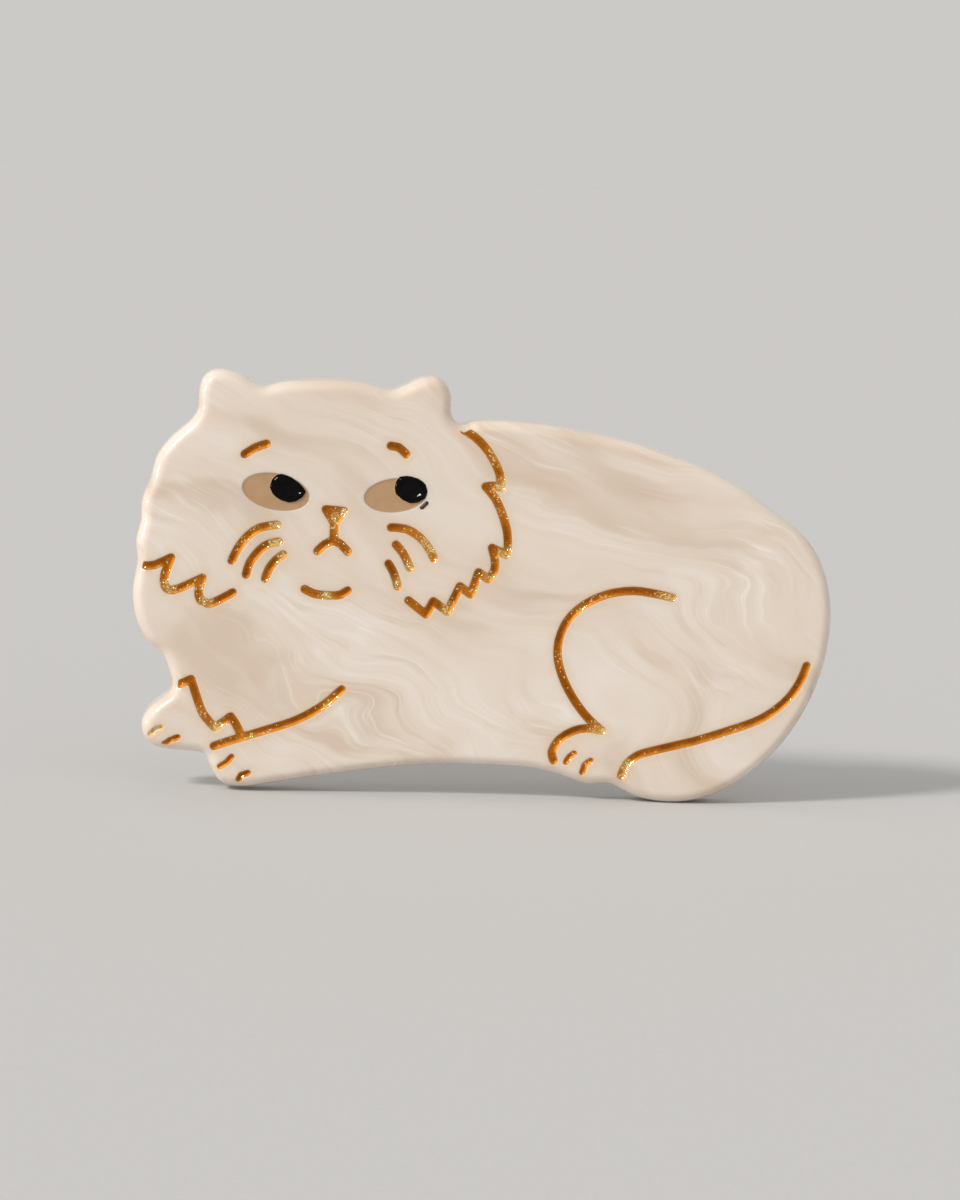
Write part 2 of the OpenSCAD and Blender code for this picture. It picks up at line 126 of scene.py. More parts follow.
FRONT_ROWS = 8  # round the front edge
BACK_ROWS = 4
SIDE_ROWS = 4
PLATE_RINGS = (1.6, 2.2)
PLATE_PITCH, PLATE_CLEAR = 0.7, 2.4
LINE_RINGS = (0.18, LIP_REACH, 0.04, -GROOVE_WALL)  # outside each line, and one inside it
LINE_CLEAR = 0.35
BACK_PITCH, BACK_CLEAR = 2.0, 1.2
LACQUER_RINGS = (0.05, 0.11)
LACQUER_PITCH, LACQUER_CLEAR = 0.09, 0.14
EYE_RINGS = (0.06, 0.15)
EYE_PITCH, EYE_CLEAR = 0.2, 0.25
PUPIL_RINGS = (0.03, 0.07, 0.12, 0.18)
PUPIL_PITCH, PUPIL_CLEAR = 0.09, 0.22
BEVEL_SEGMENTS = 3

# Spots of painted sparkle on the lacquer, given a brighter tint and more flakes: X, Z and how
# far they spread
SPARKLE_SPOTS = [
    (-12.3, 1.4, 1.1), (-13.1, 1.1, 0.8), (-13.6, -6.0, 1.1), (-18.1, 0.3, 1.6),
    (-18.2, -1.4, 1.2), (-17.8, -2.3, 0.9), (-5.0, -1.0, 1.7), (-6.5, -3.0, 1.2),
    (-7.5, -4.6, 1.0), (-27.5, -5.6, 1.1), (-24.2, -6.8, 1.1), (1.5, 4.2, 1.2),
    (2.1, -1.7, 1.2), (0.5, -3.8, 1.0), (-2.9, -6.8, 1.1), (16.6, -5.0, 1.5),
    (11.2, -17.2, 1.5), (13.6, -20.6, 1.6), (-22.9, -17.7, 1.3),
]

GOLD_NODES = [
    "brow_left", "brow_right", "nose_mouth", "chin_line", "whiskers_left", "whiskers_right",
    "ruff_left", "ruff_right", "foreleg_line", "far_paw_toes", "near_paw_toes", "thigh_line",
    "hind_toes", "rump_line",
]
EYE_NODES = ["eye_white_left", "eye_white_right"]
PUPIL_NODES = ["pupil_left", "pupil_right"]


# ---- flat geometry: loops of points on the plate's face ----

def section_loops(node, y):
    """The closed loops where a CAD node crosses the plane at that depth, in millimetres.

    The cut edges are sorted by place, so that every run finds the loops in the same order
    and starts each one at the same point."""
    cut_mesh = bmesh.new()
    cut_mesh.from_mesh(nodes[node].data)
    bmesh.ops.remove_doubles(cut_mesh, verts=cut_mesh.verts, dist=1e-6)
    everything = cut_mesh.verts[:] + cut_mesh.edges[:] + cut_mesh.faces[:]
    cut = bmesh.ops.bisect_plane(
        cut_mesh, geom=everything, plane_co=(0, y * MM, 0), plane_no=(0, 1, 0)
    )
    ordered = sorted(
        (e for e in cut["geom_cut"] if isinstance(e, bmesh.types.BMEdge)),
        key=lambda e: sorted(tuple(v.co) for v in e.verts),
    )
    edges = set(ordered)
    loops = []
    for first in ordered:
        if first not in edges:
            continue
        edges.discard(first)
        start, here = sorted(first.verts, key=lambda v: tuple(v.co))
        chain = [start, here]
        while here is not start:
            step = next((e for e in here.link_edges if e in edges), None)
            if step is None:
                break
            edges.discard(step)
            here = step.other_vert(here)
            chain.append(here)
        if here is start and len(chain) > FEWEST_POINTS:
            loops.append(np.array([v.co[:] for v in chain[:-1]])[:, FACE] / MM)
    cut_mesh.free()
    return [loop if signed_area(loop) > 0 else loop[::-1] for loop in loops]


def signed_area(loop):
    after = np.roll(loop, -1, 0)
    return 0.5 * np.sum(loop[:, 0] * after[:, 1] - after[:, 0] * loop[:, 1])


def resampled(loop, step):
    """The loop with points at even distances along it."""
    closed = np.vstack([loop, loop[:1]])
    along = np.concatenate([[0], np.cumsum(np.linalg.norm(np.diff(closed, axis=0), axis=1))])
    count = max(FEWEST_POINTS, int(round(along[-1] / step)))
    at = np.linspace(0, along[-1], count, endpoint=False)
    return np.column_stack([np.interp(at, along, closed[:, k]) for k in (0, 1)])


def smoothed(loop, step, blur):
    """The loop with its facets rounded off over the blur length, and points at even steps."""
    per_blur = 4
    fine = resampled(loop, blur / per_blur)
    reach = 3 * per_blur
    weights = np.exp(-0.5 * (np.arange(-reach, reach + 1) / per_blur) ** 2)
    weights /= weights.sum()
    soft = sum(w * np.roll(fine, k, 0) for w, k in zip(weights, range(-reach, reach + 1)))
    return resampled(soft, step)


def distance_to(points, loop):
    """Distance from each point to the closed loop."""
    a = loop
    ab = np.roll(loop, -1, 0) - a
    length2 = np.maximum((ab ** 2).sum(1), 1e-12)
    best = np.empty(len(points))
    chunk = 4000
    for i in range(0, len(points), chunk):
        p = points[i:i + chunk, None, :] - a[None]
        t = np.clip((p * ab[None]).sum(2) / length2[None], 0, 1)
        best[i:i + chunk] = np.sqrt(((p - t[..., None] * ab[None]) ** 2).sum(2)).min(1)
    return best


def is_inside(points, loop):
    """Which points the closed loop holds, by counting crossings."""
    inside = np.zeros(len(points), bool)
    x, z = points[:, 0], points[:, 1]
    for (x0, z0), (x1, z1) in zip(loop, np.roll(loop, -1, 0)):
        crosses = (z0 > z) != (z1 > z)
        if crosses.any():
            at = x0 + (z - z0) * (x1 - x0) / (z1 - z0 if z1 != z0 else 1)
            inside ^= crosses & (x < at)
    return inside


def signed_distance(points, loops, reach=1.0):
    """Distance to the nearest loop, negative inside one, and no more than reach outside."""
    result = np.full(len(points), reach)
    for loop in loops:
        near = np.all((points > loop.min(0) - reach) & (points < loop.max(0) + reach), axis=1)
        if near.any():
            local = points[near]
            d = distance_to(local, loop)
            d[is_inside(local, loop)] *= -1
            result[near] = np.minimum(result[near], d)
    return result


def offset_loop(loop, amount):
    """The loop moved outwards by amount, without the points that would fold over."""
    along = np.roll(loop, -1, 0) - np.roll(loop, 1, 0)
    along /= np.maximum(np.linalg.norm(along, axis=1, keepdims=True), 1e-9)
    moved = loop + amount * np.column_stack([along[:, 1], -along[:, 0]])
    keep = distance_to(moved, loop) > abs(amount) * FOLD_SHARE
    return moved[keep]


def hex_points(low, high, pitch):
    """Points of a triangular lattice over a box."""
    row = pitch * math.sqrt(3) / 2
    zs = np.arange(low[1], high[1], row)
    rows = [np.arange(low[0] + (k % 2) * pitch / 2, high[0], pitch) for k in range(len(zs))]
    return np.vstack([np.column_stack([xs, np.full(len(xs), z)]) for xs, z in zip(rows, zs)])


def triangulated(loops, loose, border):
    """Triangles over the area inside the border, with every loop and loose point in them."""
    verts, edges = [], []
    for loop in loops:
        if len(loop) < 3:
            continue
        start = len(verts)
        verts += [Vector(p) for p in loop]
        edges += [(start + i, start + (i + 1) % len(loop)) for i in range(len(loop))]
    verts += [Vector(p) for p in loose]
    points, _, faces, _, _, _ = geometry.delaunay_2d_cdt(verts, edges, [], 0, 1e-5)
    points = np.array([p[:] for p in points])
    faces = np.array([f[:] for f in faces])
    centres = points[faces].mean(1)
    faces = faces[is_inside(centres, border)]
    used, faces = np.unique(faces, return_inverse=True)
    faces = faces.reshape(-1, 3)
    points = points[used]
    a, b, c = (points[faces[:, k]] for k in range(3))
    turned = np.cross(b - a, c - a) < 0
    faces[turned] = faces[turned][:, ::-1]
    return points, faces


def rings(loop, insets):
    """Loops at each distance inside this one."""
    return [offset_loop(loop, -d) for d in insets]


def rounding_insets(radius, rows):
    """How far inside the outline each row of points round a rounded edge lies."""
    return [radius * (1 - math.cos(a)) for a in np.linspace(0, math.pi / 2, rows + 1)][1:]


def filled(loop, insets, pitch, clear, box=None):
    """Triangles over a loop's area, with rings inside it and a lattice clear of them."""
    box = loop if box is None else box
    grid = hex_points(box.min(0), box.max(0), pitch)
    grid = grid[signed_distance(grid, [loop]) < -clear]
    return triangulated([loop] + rings(loop, insets), grid, loop)


def rim_edges(faces):
    """The directed edges that only one triangle has."""
    directed = np.vstack([faces[:, [0, 1]], faces[:, [1, 2]], faces[:, [2, 0]]])
    present = {tuple(e) for e in directed.tolist()}
    return [e for e in present if (e[1], e[0]) not in present]


# ---- solids ----

def make_object(name, verts, faces, materials, body="brooch", smooth_angle=40):
    """A mesh object from millimetre points, smooth but for sharp edges, riding on its body."""
    mesh = bpy.data.meshes.new(name)
    mesh.from_pydata((np.asarray(verts) * MM).tolist(), [], [list(f) for f in faces])
    mesh.validate()
    mesh.update()
    for material in materials:
        mesh.materials.append(material)
    mesh.shade_smooth()
    mesh.set_sharp_from_angle(angle=math.radians(smooth_angle))
    piece = bpy.data.objects.new(name, mesh)
    bpy.context.scene.collection.objects.link(piece)
    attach(piece, body)
    return piece


def paint_attribute(piece, name, values):
    """A number at each of a piece's points, for its material to read."""
    layer = piece.data.attributes.new(name, "FLOAT", "POINT")
    layer.data.foreach_set("value", np.asarray(values, np.float32))


def place(points, depth):
    """Face points at their depths, as points in space."""
    return np.column_stack([points[:, 0], depth, points[:, 1]])


def inlay(name, points, faces, top, floor, materials):
    """A closed slab: a modelled top over a flat floor of the same outline."""
    n = len(points)
    verts = np.vstack([place(points, top), place(points, np.full(n, floor))])
    walls = [(b, a, a + n, b + n) for a, b in rim_edges(faces)]
    solid = faces.tolist() + (faces[:, ::-1] + n).tolist() + walls
    return make_object(name, verts, solid, materials)


# ---- heights of the finished face ----

def edge_drop(inset, radius):
    """How far a rounded edge has dropped at a distance inside the outline."""
    d = np.clip(inset, 0, radius)
    return radius - np.sqrt(np.maximum(d * (2 * radius - d), 0))


def waves(points, first, second, shift=0.0):
    """Two crossed waves over the face, from -1 to 1, each given by its rates along X and Z."""
    x, z = points[:, 0], points[:, 1]
    return np.sin(first[0] * x + first[1] * z) * np.cos(second[1] * z + second[0] * x + shift)


def face_drop(points, outline):
    """Depth of the polished face below the CAD plate's front plane."""
    inset = distance_to(points, outline)
    pillow = PILLOW * np.exp(-((inset / PILLOW_REACH) ** 2))
    ripple = RIPPLE * (1 + waves(points, (0.9, 0.4), (-0.3, 0.7), 1.3))
    return np.maximum(edge_drop(inset, FRONT_ROUND), pillow) + ripple * (inset > FRONT_ROUND)


def smoothstep(t):
    t = np.clip(t, 0, 1)
    return t * t * (3 - 2 * t)


def groove_drop(s, depth):
    """Depth of a pocket at a signed distance from its edge: worn lip, steep wall, floor."""
    lip = LIP * np.clip(1 - s / LIP_REACH, 0, 1) ** 2
    wall = (depth - LIP) * smoothstep(-s / GROOVE_WALL)
    return np.where(s > 0, lip, LIP + wall)


# ---- materials ----

def new_material(name):
    """A new material, the helper that adds its nodes, and its Principled shader."""
    material = bpy.data.materials.new(name)
    material.use_nodes = True
    tree = material.node_tree
    tree.nodes.clear()
    out = tree.nodes.new("ShaderNodeOutputMaterial")
    shader = tree.nodes.new("ShaderNodeBsdfPrincipled")
    tree.links.new(shader.outputs[0], out.inputs[0])
    return material, Nodes(tree), shader


class Nodes:
    """Short calls for the nodes that the materials use."""

    def __init__(self, tree):
        self.tree = tree

    def add(self, kind, inputs=(), **settings):
        node = self.tree.nodes.new(kind)
        for key, value in settings.items():
            setattr(node, key, value)
        for key, value in dict(inputs).items():
            if isinstance(value, bpy.types.NodeSocket):
                self.tree.links.new(value, node.inputs[key])
            else:
                node.inputs[key].default_value = value
        return node

    def link(self, source, target):
        self.tree.links.new(source, target)

    def place_mm(self):
        """The point on the object, in millimetres."""
        coordinate = self.add("ShaderNodeTexCoord")
        return self.scaled(coordinate.outputs["Object"], 1 / MM)

    def scaled(self, vector, factor):
        return self.add(
            "ShaderNodeVectorMath", {0: vector, 3: factor}, operation="SCALE"
        ).outputs[0]

    def mapped(self, vector, scale=(1, 1, 1), turn=(0, 0, 0), move=(0, 0, 0)):
        node = self.add("ShaderNodeMapping", {"Vector": vector})
        node.inputs["Scale"].default_value = scale
        node.inputs["Rotation"].default_value = turn
        node.inputs["Location"].default_value = move
        return node.outputs[0]

    def noise(self, vector, scale, detail=2.0, rough=0.5, output="Fac"):
        return self.add(
            "ShaderNodeTexNoise",
            {"Vector": vector, "Scale": scale, "Detail": detail, "Roughness": rough},
        ).outputs[output]

    def attribute(self, name):
        """A number that paint_attribute left on the mesh."""
        return self.add("ShaderNodeAttribute", attribute_name=name).outputs["Fac"]

    def ramp(self, value, stops):
        node = self.add("ShaderNodeValToRGB", {0: value})
        ramp = node.color_ramp
        while len(ramp.elements) < len(stops):
            ramp.elements.new(0.5)
        for element, (position, colour) in zip(ramp.elements, stops):
            element.position = position
            element.color = (*colour, 1)
        return node.outputs[0]

    def levels(self, value, low, high, to_low=0.0, to_high=1.0):
        return self.add(
            "ShaderNodeMapRange", {0: value, 1: low, 2: high, 3: to_low, 4: to_high}
        ).outputs[0]

    def mix(self, factor, a, b):
        node = self.add("ShaderNodeMix", data_type="RGBA")
        for index, value in ((0, factor), (6, a), (7, b)):
            if isinstance(value, bpy.types.NodeSocket):
                self.link(value, node.inputs[index])
            elif index == 0:
                node.inputs[index].default_value = value
            else:
                node.inputs[index].default_value = (*value, 1)
        return node.outputs[2]

    def maths(self, operation, a, b):
        return self.add("ShaderNodeMath", {0: a, 1: b}, operation=operation).outputs[0]

    def bump(self, height, strength, distance):
        return self.add(
            "ShaderNodeBump", {"Height": height, "Strength": strength, "Distance": distance}
        ).outputs[0]


def acetate_material():
    """Pearly cream acetate: low-contrast streaks that fall to the right across the back, and
    curl where the swirl folds in the chest and hip."""
    material, n, shader = new_material("pearl_acetate")
    here = n.place_mm()
    height = n.add("ShaderNodeSeparateXYZ", {0: here}).outputs[2]
    broad = n.mapped(here, (0.035, 0.035, 0.045), move=(3, 0, 5))
    middle = n.mapped(here, (0.075, 0.08, 0.1), move=(7, 0, 3))
    small = n.mapped(here, (0.25, 0.25, 0.3))
    folding = n.levels(height, -16.0, 4.0, 14.0, 4.5)  # the swirl folds harder low down
    flow = here
    for at, detail, reach in ((broad, 1.0, 14.0), (middle, 1.5, folding), (small, 1.0, 1.0)):
        push = n.scaled(n.noise(at, 1.0, detail, output="Color"), reach)
        flow = n.add("ShaderNodeVectorMath", {0: flow, 1: push}, operation="ADD").outputs[0]
    turned = n.mapped(flow, turn=(0, math.radians(-24), 0))
    lay = n.mapped(turned, (0.035, 0.16, 0.2))
    veils = n.noise(lay, 1.0)
    streaks = n.noise(n.mapped(lay, (0.9, 1, 3.6)), 1.5, 3.0, 0.55)
    threads = n.noise(n.mapped(lay, (0.8, 1, 11.0), move=(0, 0, 4)), 1.6, 3.0, 0.6)
    quiet = n.noise(n.mapped(flow, (0.06, 0.06, 0.09), move=(11, 0, 2)), 1.0, 1.0)
    combed = n.levels(quiet, 0.44, 0.6, 0.2, 1.0)  # parts of the sheet hardly streak at all
    colour = n.ramp(veils, [
        (0.34, (0.70, 0.58, 0.475)), (0.45, (0.785, 0.68, 0.585)),
        (0.6, (0.805, 0.715, 0.63)), (0.72, (0.835, 0.76, 0.69)),
    ])
    # Pale streaks and the warm ones between them, then bright threads and fine dark ones
    for source, none, full, share, tint in (
        (streaks, 0.52, 0.7, 0.55, (0.89, 0.835, 0.775)),
        (streaks, 0.45, 0.32, 0.6, (0.68, 0.535, 0.41)),
        (threads, 0.57, 0.72, 0.55, (0.93, 0.89, 0.84)),
        (threads, 0.42, 0.28, 0.34, (0.70, 0.57, 0.44)),
    ):
        most = n.maths("MULTIPLY", combed, share)
        amount = n.maths("MULTIPLY", n.levels(source, none, full), most)
        colour = n.mix(amount, colour, tint)
    # Painted glow: the acetate is tinted orange round each gold line
    lacquer_glow = n.attribute("lacquer_glow")
    colour = n.mix(n.maths("MULTIPLY", lacquer_glow, 0.34), colour, (0.80, 0.55, 0.33))
    n.link(colour, shader.inputs["Base Color"])
    n.link(n.levels(streaks, 0.3, 0.7, 0.44, 0.3), shader.inputs["Roughness"])
    pearl = n.bump(n.maths("ADD", streaks, threads), 0.1, 0.00015)
    n.link(pearl, shader.inputs["Normal"])
    shader.inputs["Subsurface Weight"].default_value = 0.4
    shader.inputs["Subsurface Radius"].default_value = (1.0, 0.72, 0.5)
    shader.inputs["Subsurface Scale"].default_value = 0.001
    shader.inputs["Specular IOR Level"].default_value = 0.45
    shader.inputs["Coat Weight"].default_value = 0.9
    shader.inputs["Coat Roughness"].default_value = 0.06
    shader.inputs["Coat IOR"].default_value = 1.48
    return material


def gold_material():
    """Gold-brown metallic lacquer, yellower along the walls of a line as a painted highlight,
    so darker down its middle, with bright flakes that crowd where the paint pooled and, under a
    brighter painted tint, at the spots of painted sparkle."""
    material, n, shader = new_material("gold_lacquer")
    here = n.place_mm()
    inward = n.attribute("inward")
    flakes_and_sparkle = n.attribute("flakes_and_sparkle")
    pools = n.noise(here, 0.4)
    grain = n.noise(here, 7.0, 3.0, 0.65)
    mixed = n.maths("ADD", n.maths("MULTIPLY", pools, 0.55), n.maths("MULTIPLY", grain, 0.45))
    paint = n.ramp(mixed, [
        (0.38, (0.30, 0.082, 0.003)), (0.5, (0.45, 0.132, 0.006)), (0.62, (0.64, 0.235, 0.02)),
    ])
    # Painted highlight: the lacquer is mixed towards a yellower gold near the walls of each
    # line
    painted_edge_highlight = n.levels(n.maths("ADD", inward, n.maths("MULTIPLY", grain, 0.5)), 0.95, 0.35)
    colour = n.mix(n.maths("MULTIPLY", painted_edge_highlight, 0.5), paint, (0.80, 0.375, 0.055))
    # Painted sparkle: a brighter gold tint over the sparkle spots
    colour = n.mix(n.maths("MULTIPLY", flakes_and_sparkle, 0.45), colour, (0.92, 0.52, 0.12))
    flakes = n.add("ShaderNodeTexVoronoi", {"Vector": here, "Scale": 8.0})
    pick = n.add("ShaderNodeSeparateColor", {0: flakes.outputs["Color"]})
    scarce = n.levels(pools, 0.5, 0.68, 0.99, 0.86)
    # More flakes at the spots of painted sparkle
    crowd = n.maths("SUBTRACT", scarce, n.maths("MULTIPLY", flakes_and_sparkle, 0.42))
    lit = n.maths("GREATER_THAN", pick.outputs[0], crowd)
    colour = n.mix(lit, colour, (1.0, 0.84, 0.42))
    n.link(colour, shader.inputs["Base Color"])
    n.link(n.levels(lit, 0, 1, 0.65, 1.0), shader.inputs["Metallic"])
    n.link(n.levels(lit, 0, 1, 0.5, 0.12), shader.inputs["Roughness"])
    tilt = n.bump(pick.outputs[1], 0.6, 0.00006)
    fine = n.add(
        "ShaderNodeBump",
        {"Height": grain, "Strength": 0.4, "Distance": 0.00006, "Normal": tilt},
    ).outputs[0]
    n.link(fine, shader.inputs["Normal"])
    shader.inputs["Specular IOR Level"].default_value = 0.12
    shader.inputs["Coat Weight"].default_value = 0.03
    shader.inputs["Coat Roughness"].default_value = 0.25
    return material


def wiped_gold_material():
    """The half-wiped toe line: flecks of gold left on acetate."""
    material, n, shader = new_material("wiped_gold")
    here = n.place_mm()
    left = n.noise(here, 2.6, 4.0, 0.65)
    kept = n.levels(left, 0.43, 0.53)
    colour = n.mix(kept, (0.80, 0.66, 0.47), (0.68, 0.38, 0.10))
    n.link(colour, shader.inputs["Base Color"])
    n.link(n.levels(kept, 0, 1, 0.0, 0.35), shader.inputs["Metallic"])
    n.link(n.levels(left, 0.3, 0.7, 0.65, 0.45), shader.inputs["Roughness"])
    n.link(n.bump(left, 0.3, 0.00005), shader.inputs["Normal"])
    return material


def eye_material():
    """Taupe eye paint, faintly mottled and nearly flat."""
    material, n, shader = new_material("eye_enamel")
    here = n.place_mm()
    cloud = n.noise(here, 0.9, 3.0)
    colour = n.ramp(cloud, [(0.3, (0.45, 0.268, 0.133)), (0.7, (0.49, 0.30, 0.157))])
    n.link(colour, shader.inputs["Base Color"])
    grain = n.noise(here, 14.0)
    n.link(n.levels(grain, 0.3, 0.7, 0.34, 0.46), shader.inputs["Roughness"])
    n.link(n.bump(grain, 0.1, 0.00003), shader.inputs["Normal"])
    shader.inputs["Coat Weight"].default_value = 0.3
    shader.inputs["Coat Roughness"].default_value = 0.15
    return material


def pupil_material():
    """Thick black enamel, wet-looking, with dust-fine unevenness."""
    material, n, shader = new_material("black_enamel")
    here = n.place_mm()
    cloud = n.noise(here, 1.6)
    colour = n.ramp(cloud, [(0.3, (0.0006, 0.0005, 0.0006)), (0.7, (0.002, 0.0015, 0.0015))])
    n.link(colour, shader.inputs["Base Color"])
    n.link(n.levels(cloud, 0.3, 0.7, 0.05, 0.12), shader.inputs["Roughness"])
    n.link(n.bump(cloud, 0.15, 0.0001), shader.inputs["Normal"])
    shader.inputs["Specular IOR Level"].default_value = 0.03
    shader.inputs["Coat Weight"].default_value = 0.08
    shader.inputs["Coat Roughness"].default_value = 0.03
    return material


def lash_material():
    """The lash's thin brown-black paint, streaked along the brush."""
    material, n, shader = new_material("lash_enamel")
    here = n.place_mm()
    drag = n.noise(n.mapped(here, (2.2, 2.2, 0.8), turn=(0, math.radians(45), 0)), 1.0)
    shade = n.ramp(drag, [(0.3, (0.03, 0.006, 0.004)), (0.7, (0.055, 0.011, 0.007))])
    n.link(shade, shader.inputs["Base Color"])
    n.link(n.levels(drag, 0.3, 0.7, 0.4, 0.55), shader.inputs["Roughness"])
    n.link(n.bump(drag, 0.2, 0.00004), shader.inputs["Normal"])
    return material


def metal_material(name, colour, roughness, along, brushed=0.5):
    """Plated steel, brushed along one axis, with rubbed patches."""
    material, n, shader = new_material(name)
    here = n.place_mm()
    stretch = [30.0, 30.0, 30.0]
    stretch[along] = 1.2
    brush = n.noise(n.mapped(here, tuple(stretch)), 1.0, 3.0, 0.6)
    patch = n.noise(here, 0.5, 3.0, 0.6)
    darker = tuple(c * 0.78 for c in colour)
    n.link(n.ramp(patch, [(0.3, darker), (0.65, colour)]), shader.inputs["Base Color"])
    shader.inputs["Metallic"].default_value = 1.0
    rub = n.maths(
        "ADD", n.maths("MULTIPLY", brush, 0.16 * brushed), n.maths("MULTIPLY", patch, 0.1)
    )
    n.link(n.maths("ADD", rub, roughness - 0.1), shader.inputs["Roughness"])
    n.link(n.bump(brush, 0.12 * brushed, 0.00002), shader.inputs["Normal"])
    return material


def floor_material():
    """Pale matte card with a faint tooth."""
    material, n, shader = new_material("studio_floor")
    here = n.place_mm()
    tooth = n.noise(here, 3.0, 3.0)
    shade = n.ramp(tooth, list(zip((0.3, 0.7), FLOOR_SHADES)))
    n.link(shade, shader.inputs["Base Color"])
    n.link(n.levels(tooth, 0.3, 0.7, 0.75, 0.85), shader.inputs["Roughness"])
    return material


# ---- the plate ----

def plate_lines():
    """Every engraved line's outline, and every eye pocket's, from just above their floors."""
    def outlines(names, floor, step, blur):
        above = floor - SECTION_LIFT
        return {
            node: [smoothed(loop, step, blur) for loop in section_loops(node, above)]
            for node in names
        }
    lines = outlines(GOLD_NODES, LINE_FLOOR, LINE_STEP, LINE_BLUR)
    eyes = outlines(EYE_NODES + PUPIL_NODES, EYE_FLOOR, EYE_STEP, EYE_BLUR)
    return lines, eyes


def plate_outline():
    """The plate's outline, from its straight side between the two rounded edges."""
    loops = section_loops("plate", FRONT + FRONT_ROUND + SIDE_LIFT)
    largest = max(loops, key=lambda loop: abs(signed_area(loop)))
    return smoothed(largest, OUTLINE_STEP, OUTLINE_BLUR)


def spot(point):
    """A key that finds the same point of the outline on the plate's front and back."""
    return round(float(point[0]), 4), round(float(point[1]), 4)


def build_plate(outline, lines, eyes, acetate):
    """The engraved, tumbled plate as one closed mesh."""
    line_loops = [loop for node in GOLD_NODES for loop in lines[node]]
    pocket_loops = [loop for node in EYE_NODES + PUPIL_NODES for loop in eyes[node]]
    loops = [outline]
    loops += rings(outline, rounding_insets(FRONT_ROUND, FRONT_ROWS) + list(PLATE_RINGS))
    for loop in line_loops + pocket_loops:
        loops += [loop] + [offset_loop(loop, d) for d in LINE_RINGS]
    grid = hex_points(outline.min(0), outline.max(0), PLATE_PITCH)
    inset = distance_to(grid, outline)
    off_lines = signed_distance(grid, line_loops + pocket_loops) > LINE_CLEAR
    grid = grid[(inset > PLATE_CLEAR) & off_lines & is_inside(grid, outline)]
    points, faces = triangulated(loops, grid, outline)
    drop = face_drop(points, outline)
    s_line = signed_distance(points, line_loops)
    s_eye = signed_distance(points, pocket_loops)
    line_drop = groove_drop(s_line, LINE_FLOOR - FRONT - FLOOR_GAP)
    lined = np.where(s_line > 0, drop + line_drop, np.maximum(drop + LIP, line_drop))
    depth = np.maximum(lined, drop + groove_drop(s_eye, POCKET_DEPTH))
    front = place(points, FRONT + depth)

    back_loops = [outline] + rings(outline, rounding_insets(BACK_ROUND, BACK_ROWS))
    back_grid = hex_points(outline.min(0), outline.max(0), BACK_PITCH)
    back_inset = distance_to(back_grid, outline)
    back_grid = back_grid[(back_inset > BACK_CLEAR) & is_inside(back_grid, outline)]
    back_points, back_faces = triangulated(back_loops, back_grid, outline)
    back_drop = edge_drop(distance_to(back_points, outline), BACK_ROUND)
    back = place(back_points, BACK - back_drop)

    verts = [front, back]
    all_faces = faces.tolist() + (back_faces[:, ::-1] + len(front)).tolist()
    partner = {spot(p): i + len(front) for i, p in enumerate(back_points)}
    rim = rim_edges(faces)
    levels = np.linspace(FRONT + FRONT_ROUND, BACK - BACK_ROUND, SIDE_ROWS + 1)[1:-1]
    columns = {}
    count = len(front) + len(back)
    for a in sorted({a for e in rim for a in e}):
        middle = [place(points[a:a + 1], np.array([level])) for level in levels]
        columns[a] = [a] + list(range(count, count + len(middle))) + [partner[spot(points[a])]]
        verts += middle
        count += len(middle)
    for a, b in rim:
        one, other = columns[a], columns[b]
        for k in range(SIDE_ROWS):
            all_faces.append((other[k], one[k], one[k + 1], other[k + 1]))
    piece = make_object("acetate_plate", np.vstack(verts), all_faces, [acetate])
    # Painted glow of the lacquer, strongest at each line's edge, for the acetate's colour
    lacquer_glow = np.zeros(count)
    lacquer_glow[:len(front)] = smoothstep(1 - s_line / LACQUER_GLOW_REACH)
    paint_attribute(piece, "lacquer_glow", lacquer_glow)
    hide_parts("plate")


def sparkle_near(points):
    """How much painted sparkle, as a brighter tint and more flakes, each point gets: 1 at a
    spot, 0 away from there.
    """
    away = np.min([
        np.hypot(points[:, 0] - x, points[:, 1] - z) / reach for x, z, reach in SPARKLE_SPOTS
    ], axis=0)
    return 1 - smoothstep(away)


def build_gold(outline, lines, gold, wiped):
    """Each pool of lacquer: a rim at the face, a dip in the middle, and lumps."""
    for node in GOLD_NODES:
        for index, loop in enumerate(lines[node]):
            points, faces = filled(loop, LACQUER_RINGS, LACQUER_PITCH, LACQUER_CLEAR)
            s = signed_distance(points, [loop])
            t = np.clip(-s / DIP_REACH, 0, 1)
            lumps = LUMP * waves(points, (5.1, 2.3), (-1.7, 4.3))
            drop = face_drop(points, outline) + RIM_DROP + DIP * (1 - (1 - t) ** 2) + lumps * t
            top = np.minimum(FRONT + drop, LINE_FLOOR - THINNEST)
            is_wiped = node == "far_paw_toes" and loop[:, 0].mean() < WIPED_BEYOND
            name = f"lacquer_{node}_{index}" if len(lines[node]) > 1 else f"lacquer_{node}"
            piece = inlay(name, points, faces, top, LINE_FLOOR, [wiped if is_wiped else gold])
            # Distance in from each wall, which drives the lacquer's painted highlight along its
            # walls
            paint_attribute(piece, "inward", np.tile(np.clip(-s / INWARD_REACH, 0, 1), 2))
            # Painted sparkle, with more flakes, round the listed spots
            paint_attribute(piece, "flakes_and_sparkle", np.tile(sparkle_near(points), 2))
            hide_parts(node)


